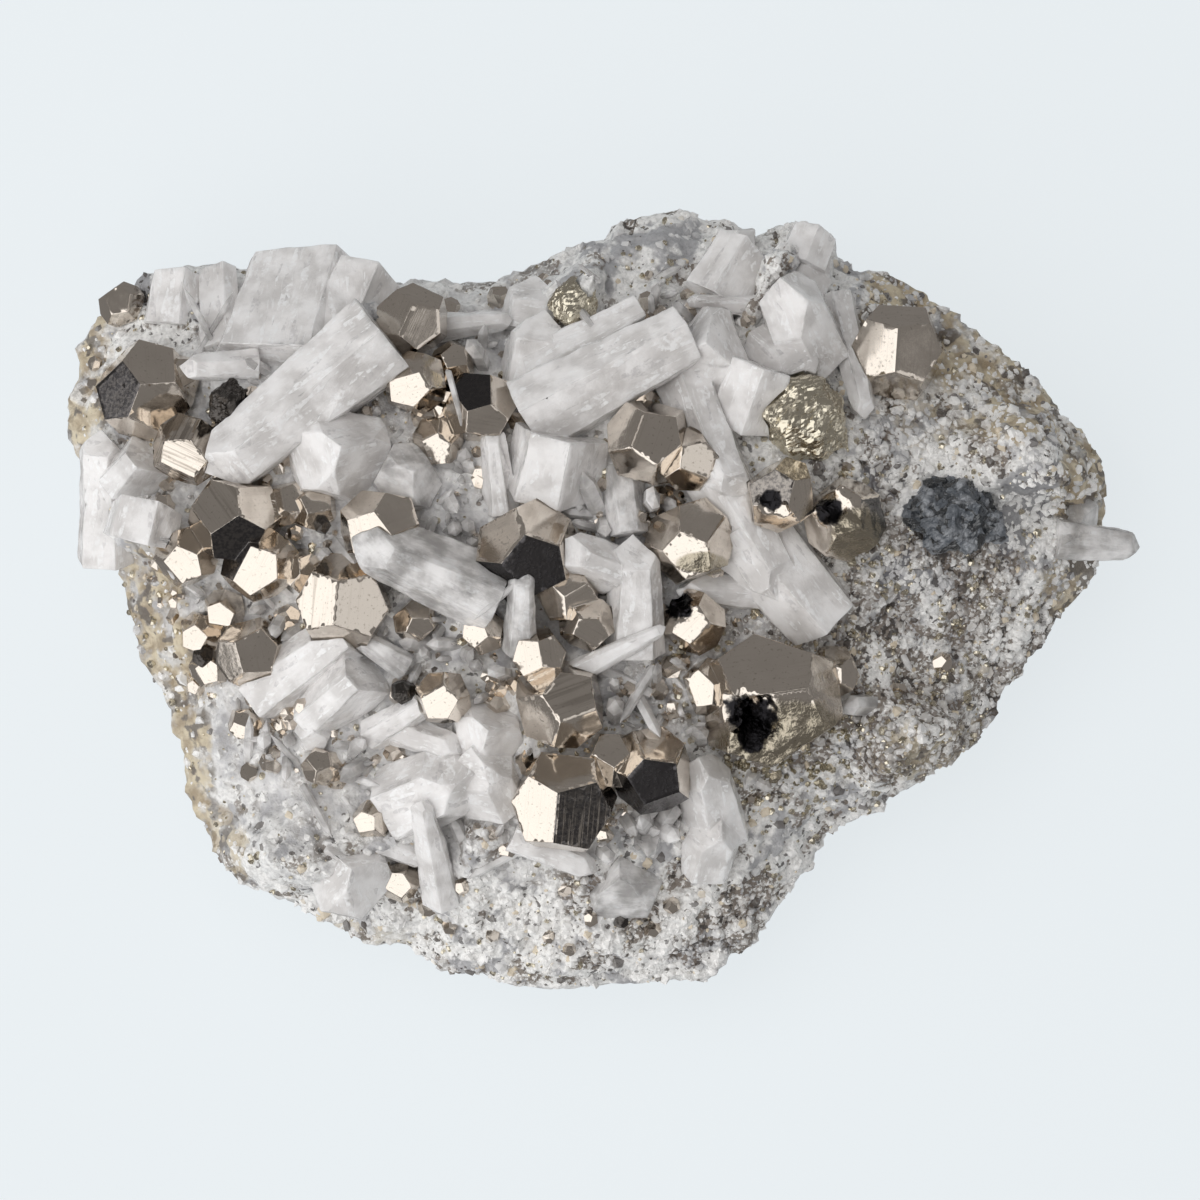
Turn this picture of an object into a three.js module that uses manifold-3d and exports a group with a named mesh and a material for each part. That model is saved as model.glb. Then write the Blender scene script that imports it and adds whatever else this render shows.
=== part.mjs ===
import * as THREE from 'three';
import { ConvexGeometry } from 'three/addons/geometries/ConvexGeometry.js';
import { mergeVertices } from 'three/addons/utils/BufferGeometryUtils.js';
import Module from 'manifold-3d';

// A hand specimen of pyrite and quartz crystals on a piece of granular rock.
// Millimetres, +Z up, X along the specimen. The origin is the centre of the flat face it rests on.
const RIM_HEIGHT = 15;          // the widest part of the rock, above the flat face
const CROWN_HEIGHT = 27;        // the rock's top under the middle crystals
const DOME_POWER = 3.2;         // how late the top falls away to the rim
const LUMP_HEIGHT = 0.75;       // how far lumps stand out of the rock's top
const SIDE_WAVE = 0.018;        // how much the sides wave in and out
const GAP = 0.3;                // room between one solid and the next

const wasm = await Module();
wasm.setup();

// The rock's widest outline seen from above, clockwise from its upper left corner.
const OUTLINE = [
  [-47.9, 36.9], [-41.6, 37.2], [-37.7, 36.4], [-31.0, 35.6], [-23.3, 35.3], [-20.6, 35.6],
  [-16.6, 35.4], [-12.2, 35.0], [-9.5, 36.1], [-8.0, 37.4], [-1.3, 39.4], [0.8, 40.0],
  [1.4, 41.6], [2.8, 42.9], [6.1, 42.6], [9.2, 43.5], [12.2, 42.0], [14.7, 42.4],
  [16.6, 40.6], [18.7, 40.5], [21.7, 41.9], [25.4, 40.7], [25.9, 38.6], [27.5, 36.7],
  [32.1, 36.3], [35.4, 34.3], [41.1, 30.0], [44.8, 27.7], [48.7, 24.4], [51.6, 20.9],
  [55.3, 16.2], [56.5, 12.3], [55.9, 9.0], [55.8, 5.0], [54.0, 1.5], [51.3, -2.2],
  [48.5, -5.6], [45.2, -9.8], [43.9, -13.0], [40.9, -16.2], [35.8, -19.9], [31.7, -22.4],
  [29.4, -24.0], [25.4, -25.9], [23.3, -28.8], [21.7, -30.5], [20.6, -32.9], [18.5, -35.4],
  [16.0, -39.3], [12.0, -41.7], [7.2, -42.2], [1.1, -42.8], [-5.9, -43.5], [-12.1, -42.0],
  [-18.9, -40.2], [-22.6, -38.4], [-25.5, -38.5], [-28.6, -36.6], [-35.0, -33.3], [-39.9, -31.5],
  [-42.9, -28.1], [-44.4, -24.4], [-46.5, -17.5], [-48.1, -11.7], [-50.4, -6.6], [-51.9, -3.2],
  [-52.9, 0.8], [-54.0, 4.5], [-56.4, 7.5], [-56.7, 12.4], [-58.2, 16.5], [-59.3, 22.1],
  [-57.8, 25.3], [-58.1, 27.6], [-55.4, 31.6], [-52.4, 34.4], [-51.5, 36.0],
];

// Mounds and hollows of the rock's top: place, radius and height.
const MOUNDS = [
  { x: -31, y: 24, radius: 15, height: 2.0 },
  { x: -48, y: 18, radius: 9, height: 2.0 },
  { x: 0, y: 22, radius: 12, height: 2.0 },
  { x: -8, y: -2, radius: 15, height: 2.5 },
  { x: -4, y: -21, radius: 11, height: 1.5 },
  { x: 21, y: 16, radius: 12, height: 3.0 },
  { x: 19, y: -12, radius: 10, height: 1.5 },
  { x: 20, y: 33, radius: 9, height: 3.5 },
  { x: 4, y: 36, radius: 7, height: 2.5 },
  { x: 37, y: -6, radius: 12, height: -2.0 },
  { x: -25, y: -26, radius: 11, height: -1.0 },
  { x: 12, y: -32, radius: 10, height: -2.0 },
  { x: 42, y: 12, radius: 9, height: 1.0 },
];

// The rock's rings, from the middle of the top over the rim to the flat face: share is the part of the
// way out to the outline, drop is the height below the rim. Rings near the middle have fewer points.
const TOP_SHARES = [0.24, 0.48, 0.7, 0.9];
const SIDE_STEPS = [
  { share: 1.0, drop: 1.5 },
  { share: 0.95, drop: 9.5 },
  { share: 0.8, drop: RIM_HEIGHT },
];

function degrees(angle) {
  return THREE.MathUtils.degToRad(angle);
}

// The same run of numbers from 0 to 1 every time.
function repeatableNumbers(seed) {
  let state = seed;
  return () => {
    state = (state * 1664525 + 1013904223) % 4294967296;
    return state / 4294967296;
  };
}

// How far out a place lies between the middle (0) and the outline (1).
function outlineShare(x, y) {
  for (let i = 0; i < OUTLINE.length; i += 1) {
    const [ax, ay] = OUTLINE[i];
    const [bx, by] = OUTLINE[(i + 1) % OUTLINE.length];
    const across = x * (by - ay) - y * (bx - ax);
    if (Math.abs(across) < 1e-9) continue;
    const reach = (ax * (by - ay) - ay * (bx - ax)) / across;
    const along = (ax * y - ay * x) / -across;
    if (reach > 0 && along >= 0 && along <= 1) return 1 / reach;
  }
  return 0;
}

function lumps(x, y) {
  const broad = Math.sin(x * 0.37 + 1.7 * Math.sin(y * 0.21)) * Math.cos(y * 0.41 + 0.6);
  const fine = Math.sin(x * 0.93 + 2.1) * Math.sin(y * 0.87 + 1.1 * Math.sin(x * 0.5));
  return LUMP_HEIGHT * (broad + 0.6 * fine);
}

// Height of the rock's top at a place.
function topHeight(x, y) {
  const share = Math.min(outlineShare(x, y), 1);
  let height = CROWN_HEIGHT - (CROWN_HEIGHT - RIM_HEIGHT) * share ** DOME_POWER;
  for (const mound of MOUNDS) {
    const away = Math.hypot(x - mound.x, y - mound.y) / mound.radius;
    height += mound.height * Math.exp(-away * away) * (1 - share ** 6);
  }
  return height + lumps(x, y) * (1 - 0.5 * share);
}

// A point of the outline, with way running from 0 to 1 round it.
function outlinePoint(way) {
  const along = way * OUTLINE.length;
  const [ax, ay] = OUTLINE[Math.floor(along) % OUTLINE.length];
  const [bx, by] = OUTLINE[(Math.floor(along) + 1) % OUTLINE.length];
  const part = along - Math.floor(along);
  return [ax + (bx - ax) * part, ay + (by - ay) * part];
}

function topRing(share, room) {
  const count = Math.max(6, Math.round(OUTLINE.length * share));
  return Array.from({ length: count }, (_, i) => {
    const [x, y] = outlinePoint(i / count).map((value) => value * share);
    return new THREE.Vector3(x, y, topHeight(x, y) + room);
  });
}

function sideRing({ share, drop }, room) {
  return OUTLINE.map(([outX, outY]) => {
    const wave = share < 1 ? SIDE_WAVE * Math.sin(outX * 0.5 + drop) * Math.cos(outY * 0.45) : 0;
    const spread = share * (1 + wave) + room / Math.hypot(outX, outY);
    return new THREE.Vector3(outX * spread, outY * spread, RIM_HEIGHT - drop);
  });
}

// The rock: rings of points drawn in from the outline, joined by triangles.
function rockGeometry(room) {
  const rings = [
    [new THREE.Vector3(0, 0, topHeight(0, 0) + room)],
    ...TOP_SHARES.map((share) => topRing(share, room)),
    ...SIDE_STEPS.map((step) => sideRing(step, room)),
    [new THREE.Vector3(0, 0, 0)],
  ];
  const starts = rings.map((_, row) => rings.slice(0, row).reduce((sum, ring) => sum + ring.length, 0));
  const triangles = [];
  for (let row = 0; row + 1 < rings.length; row += 1) {
    const [inner, outer] = [rings[row].length, rings[row + 1].length];
    const innerAt = (i) => starts[row] + (i % inner);
    const outerAt = (j) => starts[row + 1] + (j % outer);
    const innerEnd = inner > 1 ? inner : 0;
    const outerEnd = outer > 1 ? outer : 0;
    let [i, j] = [0, 0];
    while (i < innerEnd || j < outerEnd) {
      if (i >= innerEnd || (j < outerEnd && (j + 1) / outer <= (i + 1) / inner)) {
        triangles.push(innerAt(i), outerAt(j + 1), outerAt(j));
        j += 1;
      } else {
        triangles.push(innerAt(i), innerAt(i + 1), outerAt(j));
        i += 1;
      }
    }
  }
  const geometry = new THREE.BufferGeometry().setFromPoints(rings.flat());
  return geometry.setIndex(triangles);
}

// Height of the rock's own faces at a place, where crystals stand.
const rockMesh = new THREE.Mesh(rockGeometry(0), new THREE.MeshBasicMaterial({ side: THREE.DoubleSide }));

function standingHeight(x, y) {
  const above = new THREE.Vector3(x, y, 2 * CROWN_HEIGHT);
  const hits = new THREE.Raycaster(above, new THREE.Vector3(0, 0, -1)).intersectObject(rockMesh);
  return hits.length > 0 ? hits[0].point.z : RIM_HEIGHT;
}

// A closed geometry as a solid for cutting and joining.
function solidOf(geometry) {
  geometry.deleteAttribute('normal');
  geometry.deleteAttribute('uv');
  const merged = mergeVertices(geometry, 1e-4);
  const corners = merged.index.array;
  const triangles = [];
  for (let i = 0; i < corners.length; i += 3) {
    const [a, b, c] = [corners[i], corners[i + 1], corners[i + 2]];
    if (a !== b && b !== c && c !== a) triangles.push(a, b, c);
  }
  return new wasm.Manifold(new wasm.Mesh({
    numProp: 3,
    vertProperties: new Float32Array(merged.attributes.position.array),
    triVerts: new Uint32Array(triangles),
  }));
}

function geometryOf(solid) {
  const mesh = solid.getMesh();
  const geometry = new THREE.BufferGeometry();
  geometry.setAttribute('position', new THREE.BufferAttribute(new Float32Array(mesh.vertProperties), 3));
  geometry.setIndex(new THREE.BufferAttribute(new Uint32Array(mesh.triVerts), 1));
  return geometry;
}

// A crystal is the space inside its faces. Each face has a direction and a distance from the origin,
// and the room round the crystal moves every face out by the same amount.
function crystalGeometry(faces, room) {
  const corners = [];
  const inverse = new THREE.Matrix3();
  for (let i = 0; i < faces.length; i += 1) {
    for (let j = i + 1; j < faces.length; j += 1) {
      for (let k = j + 1; k < faces.length; k += 1) {
        const [a, b, c] = [faces[i], faces[j], faces[k]];
        inverse.set(...a.normal.toArray(), ...b.normal.toArray(), ...c.normal.toArray());
        if (Math.abs(inverse.determinant()) < 1e-4) continue;
        const corner = new THREE.Vector3(a.distance + room, b.distance + room, c.distance + room);
        corner.applyMatrix3(inverse.invert());
        const inside = faces.every((face) => face.normal.dot(corner) < face.distance + room + 1e-6);
        const known = corners.some((other) => other.distanceTo(corner) < 1e-3);
        if (inside && !known) corners.push(corner);
      }
    }
  }
  return new ConvexGeometry(corners);
}

// The twelve faces of a pyritohedron: (0, 1, 2), (1, 2, 0) and (2, 0, 1) with every sign.
// One is the leading face, whose base edge lies along X and whose tip points up the face.
const LEADING_FACE = new THREE.Vector3(0, 1, 2).normalize();
const LEADING_TIP = new THREE.Vector3(0, 2, -1).normalize();
const PYRITE_UNEVEN = 0.07;      // how unequal the faces' distances are

function pyritohedronDirections() {
  const directions = [];
  for (const first of [1, -1]) {
    for (const second of [2, -2]) {
      directions.push(new THREE.Vector3(0, first, second).normalize());
      directions.push(new THREE.Vector3(first, second, 0).normalize());
      directions.push(new THREE.Vector3(second, 0, first).normalize());
    }
  }
  return directions;
}

function upright(across, up) {
  const sideways = new THREE.Vector3().crossVectors(up, across);
  return new THREE.Matrix4().makeBasis(across, sideways, up);
}

// lean tips the leading face from level towards the bearing, and turn is the bearing of its tip.
function pyriteTurning({ lean, bearing, turn }) {
  const facing = new THREE.Vector3(
    Math.sin(degrees(lean)) * Math.cos(degrees(bearing)),
    Math.sin(degrees(lean)) * Math.sin(degrees(bearing)),
    Math.cos(degrees(lean)),
  );
  const tip = new THREE.Vector3(Math.cos(degrees(turn)), Math.sin(degrees(turn)), 0);
  tip.addScaledVector(facing, -tip.dot(facing)).normalize();
  const source = upright(LEADING_TIP, LEADING_FACE);
  return upright(tip, facing).multiply(source.transpose());
}

// size is the distance across the crystal, lift the height of its middle above the rock.
function pyriteCrystal(crystal, index) {
  const { x, y, size, lift = 0.18 * size } = crystal;
  const uneven = repeatableNumbers(100 + index * 37);
  const turning = pyriteTurning(crystal);
  const inradius = (size / 2) * 0.8;
  const faces = pyritohedronDirections().map((direction) => ({
    normal: direction.applyMatrix4(turning),
    distance: inradius * (1 + PYRITE_UNEVEN * (2 * uneven() - 1)),
  }));
  const place = new THREE.Vector3(x, y, standingHeight(x, y) + lift);
  return (room) => solidOf(crystalGeometry(faces, room).translate(place.x, place.y, place.z));
}

// A quartz crystal: six sides round an axis from its root to its tip, closed by six sloping faces,
// or by one rough break when it is blunt. The heights of root and tip are above the rock.
const QUARTZ_FACE_SLOPE = 51.8;  // degrees between the axis and the direction of a sloping face
const QUARTZ_UNEVEN = 0.2;        // how unequal the six sides are
const QUARTZ_TAPER = 3.5;        // degrees that the sides lean in towards the tip

function quartzCrystal(crystal, index) {
  const { root, tip, width, blunt = false } = crystal;
  const uneven = repeatableNumbers(900 + index * 53);
  const start = new THREE.Vector3(root[0], root[1], standingHeight(root[0], root[1]) + root[2]);
  const end = new THREE.Vector3(tip[0], tip[1], standingHeight(tip[0], tip[1]) + tip[2]);
  const length = start.distanceTo(end);
  const axis = end.clone().sub(start).normalize();
  const sideways = new THREE.Vector3(-axis.y, axis.x, 0.01).cross(axis).normalize();
  const faces = [{ normal: axis.clone().negate(), distance: 0 }];
  const roll = 60 * uneven();
  const slope = degrees(QUARTZ_FACE_SLOPE);
  for (let side = 0; side < 6; side += 1) {
    const radial = sideways.clone().applyAxisAngle(axis, degrees(roll + side * 60));
    const distance = (width / 2) * 0.95 * (1 + QUARTZ_UNEVEN * (2 * uneven() - 1));
    const leaning = radial.clone().addScaledVector(axis, Math.tan(degrees(QUARTZ_TAPER))).normalize();
    faces.push({ normal: leaning, distance });
    const sloping = axis.clone().multiplyScalar(Math.cos(slope)).addScaledVector(radial, Math.sin(slope));
    const set = side % 2 === 0 ? 0 : 0.16 * width;
    const reach = length * Math.cos(slope) + (set + 0.08 * width * uneven()) * Math.sin(slope);
    if (!blunt) faces.push({ normal: sloping, distance: reach });
  }
  if (blunt) {
    const broken = axis.clone().addScaledVector(sideways, 0.35).normalize();
    faces.push({ normal: broken, distance: length * broken.dot(axis) });
  }
  return (room) => solidOf(crystalGeometry(faces, room).translate(start.x, start.y, start.z));
}

// A lumpy rounded mass.
const MASS_ROUGHNESS = 0.14;      // how far its lumps stand out, as a share of its radius

function lumpyMass(mass, index) {
  const { x, y, size, stretch = [1, 1, 1], lift = 0.15 * size } = mass;
  return (room) => {
    const geometry = new THREE.IcosahedronGeometry(1, 1);
    const position = geometry.attributes.position;
    const point = new THREE.Vector3();
    for (let i = 0; i < position.count; i += 1) {
      point.fromBufferAttribute(position, i);
      const bump = Math.sin(point.x * 5.1 + index) * Math.sin(point.y * 4.3 + 2 * index)
        + Math.sin(point.z * 6.7 + index * 1.7) * Math.cos(point.x * 3.9);
      const radius = (size / 2) * (1 + MASS_ROUGHNESS * bump);
      point.set(point.x * stretch[0], point.y * stretch[1], point.z * stretch[2]);
      point.multiplyScalar(radius + room);
      position.setXYZ(i, point.x, point.y, point.z);
    }
    return solidOf(geometry.translate(x, y, standingHeight(x, y) + lift));
  };
}

// Pyrite crystals: place, size across, and the lean, bearing and turn of the leading face.
const PYRITE = [
  // Left rim group and the silvery striated crystal
  { name: 'pyrite_left_rim', x: -50.0, y: 23.0, size: 11.6, lift: 2.6, lean: 33, bearing: -50, turn: 64 },
  { name: 'pyrite_left_brown', x: -46.4, y: 24.4, size: 5.8, lean: 25, bearing: 30, turn: 120 },
  { name: 'pyrite_silvery', x: -45.2, y: 16.6, size: 8.0, lift: 3.2, lean: 20, bearing: 245, turn: 65 },
  { name: 'pyrite_corner', x: -53.0, y: 32.6, size: 5.4, lean: 20, bearing: 140, turn: 20 },
  // Dark pair with the white face, and the crystals to their left
  { name: 'pyrite_dark_left', x: -39.8, y: 8.8, size: 10.4, lift: 3.2, lean: 38, bearing: -80, turn: 151 },
  { name: 'pyrite_white_face', x: -37.3, y: 4.0, size: 8.6, lift: 3.0, lean: 14, bearing: 240, turn: -28 },
  { name: 'pyrite_left_pale', x: -45.4, y: 4.8, size: 7.2, lean: 24, bearing: 250, turn: 40 },
  { name: 'pyrite_behind_dark', x: -34.2, y: 10.6, size: 5.6, lean: 20, bearing: 60, turn: 10 },
  { name: 'pyrite_between', x: -32.6, y: 3.2, size: 5.4, lean: 30, bearing: 20, turn: 80 },
  // Middle crystals beside the clear quartz
  { name: 'pyrite_white_left', x: -24.0, y: 8.1, size: 9.0, lift: 3.2, lean: 27, bearing: 222, turn: 10 },
  { name: 'pyrite_beige', x: -28.0, y: 0.0, size: 11.4, lift: 3.0, lean: 22, bearing: -10, turn: -5 },
  { name: 'pyrite_olive_small', x: -31.4, y: 10.2, size: 5.4, lean: 20, bearing: 60, turn: 100 },
  { name: 'pyrite_below_beige', x: -20.2, y: -2.2, size: 5.0, lean: 30, bearing: -60, turn: 60 },
  // Left lower group
  { name: 'pyrite_left_lower', x: -38.4, y: -5.8, size: 8.0, lift: 2.8, lean: 9, bearing: 12, turn: 15 },
  { name: 'pyrite_left_cream', x: -41.4, y: -1.2, size: 4.8, lean: 20, bearing: 230, turn: 80 },
  { name: 'pyrite_left_flat', x: -44.1, y: -3.8, size: 5.0, lean: 22, bearing: 225, turn: 150 },
  { name: 'pyrite_left_bright', x: -43.0, y: -7.4, size: 4.8, lean: 18, bearing: 240, turn: 30 },
  { name: 'pyrite_left_nugget', x: -39.1, y: -13.6, size: 4.0, lean: 18, bearing: 100, turn: 70 },
  { name: 'pyrite_brown_knot', x: -30.6, y: -18.2, size: 4.6, lean: 25, bearing: 120, turn: 40 },
  // Upper group
  { name: 'pyrite_upper_pair', x: -20.6, y: 30.6, size: 8.8, lift: 3.6, lean: 17, bearing: -25, turn: -25 },
  { name: 'pyrite_upper_white', x: -20.3, y: 23.8, size: 7.2, lift: 3.2, lean: 18, bearing: 228, turn: -75 },
  { name: 'pyrite_upper_grey', x: -16.2, y: 26.0, size: 5.2, lift: 2.4, lean: 18, bearing: 60, turn: 100 },
  { name: 'pyrite_upper_dark', x: -13.2, y: 21.0, size: 8.4, lift: 3.0, lean: 30, bearing: -70, turn: 80 },
  { name: 'pyrite_upper_olive', x: -17.8, y: 17.4, size: 5.8, lean: 25, bearing: 260, turn: 20 },
  // Middle group
  { name: 'pyrite_middle_dark', x: -8.0, y: 5.2, size: 12.0, lift: 2.6, lean: 22, bearing: -72, turn: 42 },
  { name: 'pyrite_middle_olive', x: -3.6, y: 0.8, size: 7.0, lift: 2.4, lean: 25, bearing: 80, turn: 120 },
  { name: 'pyrite_middle_brown', x: -1.4, y: -2.6, size: 6.2, lift: 2.6, lean: 24, bearing: -75, turn: 60 },
  { name: 'pyrite_middle_white', x: -6.6, y: -6.0, size: 6.4, lift: 2.8, lean: 24, bearing: 12, turn: 10 },
  { name: 'pyrite_olive_left', x: -12.7, y: -3.4, size: 5.4, lean: 30, bearing: 45, turn: 20 },
  { name: 'pyrite_white_star', x: -17.0, y: -10.6, size: 6.4, lift: 3.0, lean: 17, bearing: 235, turn: -60 },
  { name: 'pyrite_black_small', x: -21.5, y: -10.0, size: 3.6, lean: 30, bearing: 200, turn: 60 },
  // Lower group
  { name: 'pyrite_striped', x: -4.4, y: -11.2, size: 10.4, lift: 2.4, lean: 16, bearing: 30, turn: 110 },
  { name: 'pyrite_lower_large', x: -4.1, y: -21.8, size: 12.2, lift: 3.4, lean: 28, bearing: -45, turn: -5 },
  { name: 'pyrite_lower_black', x: 5.6, y: -18.6, size: 9.8, lift: 3.2, lean: 18, bearing: -66, turn: 110 },
  { name: 'pyrite_lower_brown', x: 1.2, y: -17.6, size: 7.0, lift: 2.2, lean: 25, bearing: 100, turn: 60 },
  { name: 'pyrite_bottom_white', x: -22.1, y: -30.8, size: 5.0, lift: 1.6, lean: 18, bearing: 238, turn: 60 },
  { name: 'pyrite_bottom_olive', x: -25.0, y: -24.2, size: 4.6, lean: 25, bearing: 200, turn: 100 },
  // Right of the middle
  { name: 'pyrite_right_tall', x: 5.4, y: 17.4, size: 10.0, lift: 3.6, lean: 12, bearing: 40, turn: -20 },
  { name: 'pyrite_right_brown', x: 9.4, y: 15.4, size: 7.4, lift: 2.6, lean: 24, bearing: -10, turn: 70 },
  { name: 'pyrite_right_cream', x: 9.9, y: 6.4, size: 9.8, lift: 3.0, lean: 24, bearing: 256, turn: 39 },
  { name: 'pyrite_round_white', x: 10.2, y: -2.4, size: 7.4, lift: 2.4, lean: 10, bearing: 235, turn: 135 },
  { name: 'pyrite_beside_nodule', x: 19.8, y: 11.4, size: 8.4, lift: 2.6, lean: 22, bearing: 165, turn: 90 },
  { name: 'pyrite_golden', x: 26.6, y: 8.8, size: 9.2, lift: 2.6, lean: 12, bearing: 120, turn: 30 },
  { name: 'pyrite_upper_right', x: 32.6, y: 27.4, size: 11.4, lift: 3.0, lean: 20, bearing: 2, turn: -4 },
  // The large rounded compound crystal
  { name: 'pyrite_compound', x: 18.6, y: -10.8, size: 16.6, lift: 1.2, lean: 26, bearing: 98, turn: 98 },
  { name: 'pyrite_compound_right', x: 25.6, y: -7.8, size: 6.0, lean: 20, bearing: 230, turn: 100 },
  { name: 'pyrite_compound_left', x: 12.2, y: -9.6, size: 6.6, lift: 2.0, lean: 30, bearing: 190, turn: 20 },
];

const PYRITE_MASSES = [
  { name: 'pyrite_nodule', x: 22.3, y: 20.0, size: 9.6, stretch: [1, 1.08, 0.85], lift: 2.6 },
  { name: 'pyrite_black_knot', x: -40.4, y: 21.6, size: 5.0 },
  { name: 'pyrite_speckled', x: -2.8, y: 32.6, size: 5.4, lift: 0.8 },
];

const BLENDE_MASSES = [
  { name: 'blende_mass', x: 38.4, y: 9.4, size: 9.4, stretch: [1.25, 0.95, 0.6], lift: 0.8 },
];

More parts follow.
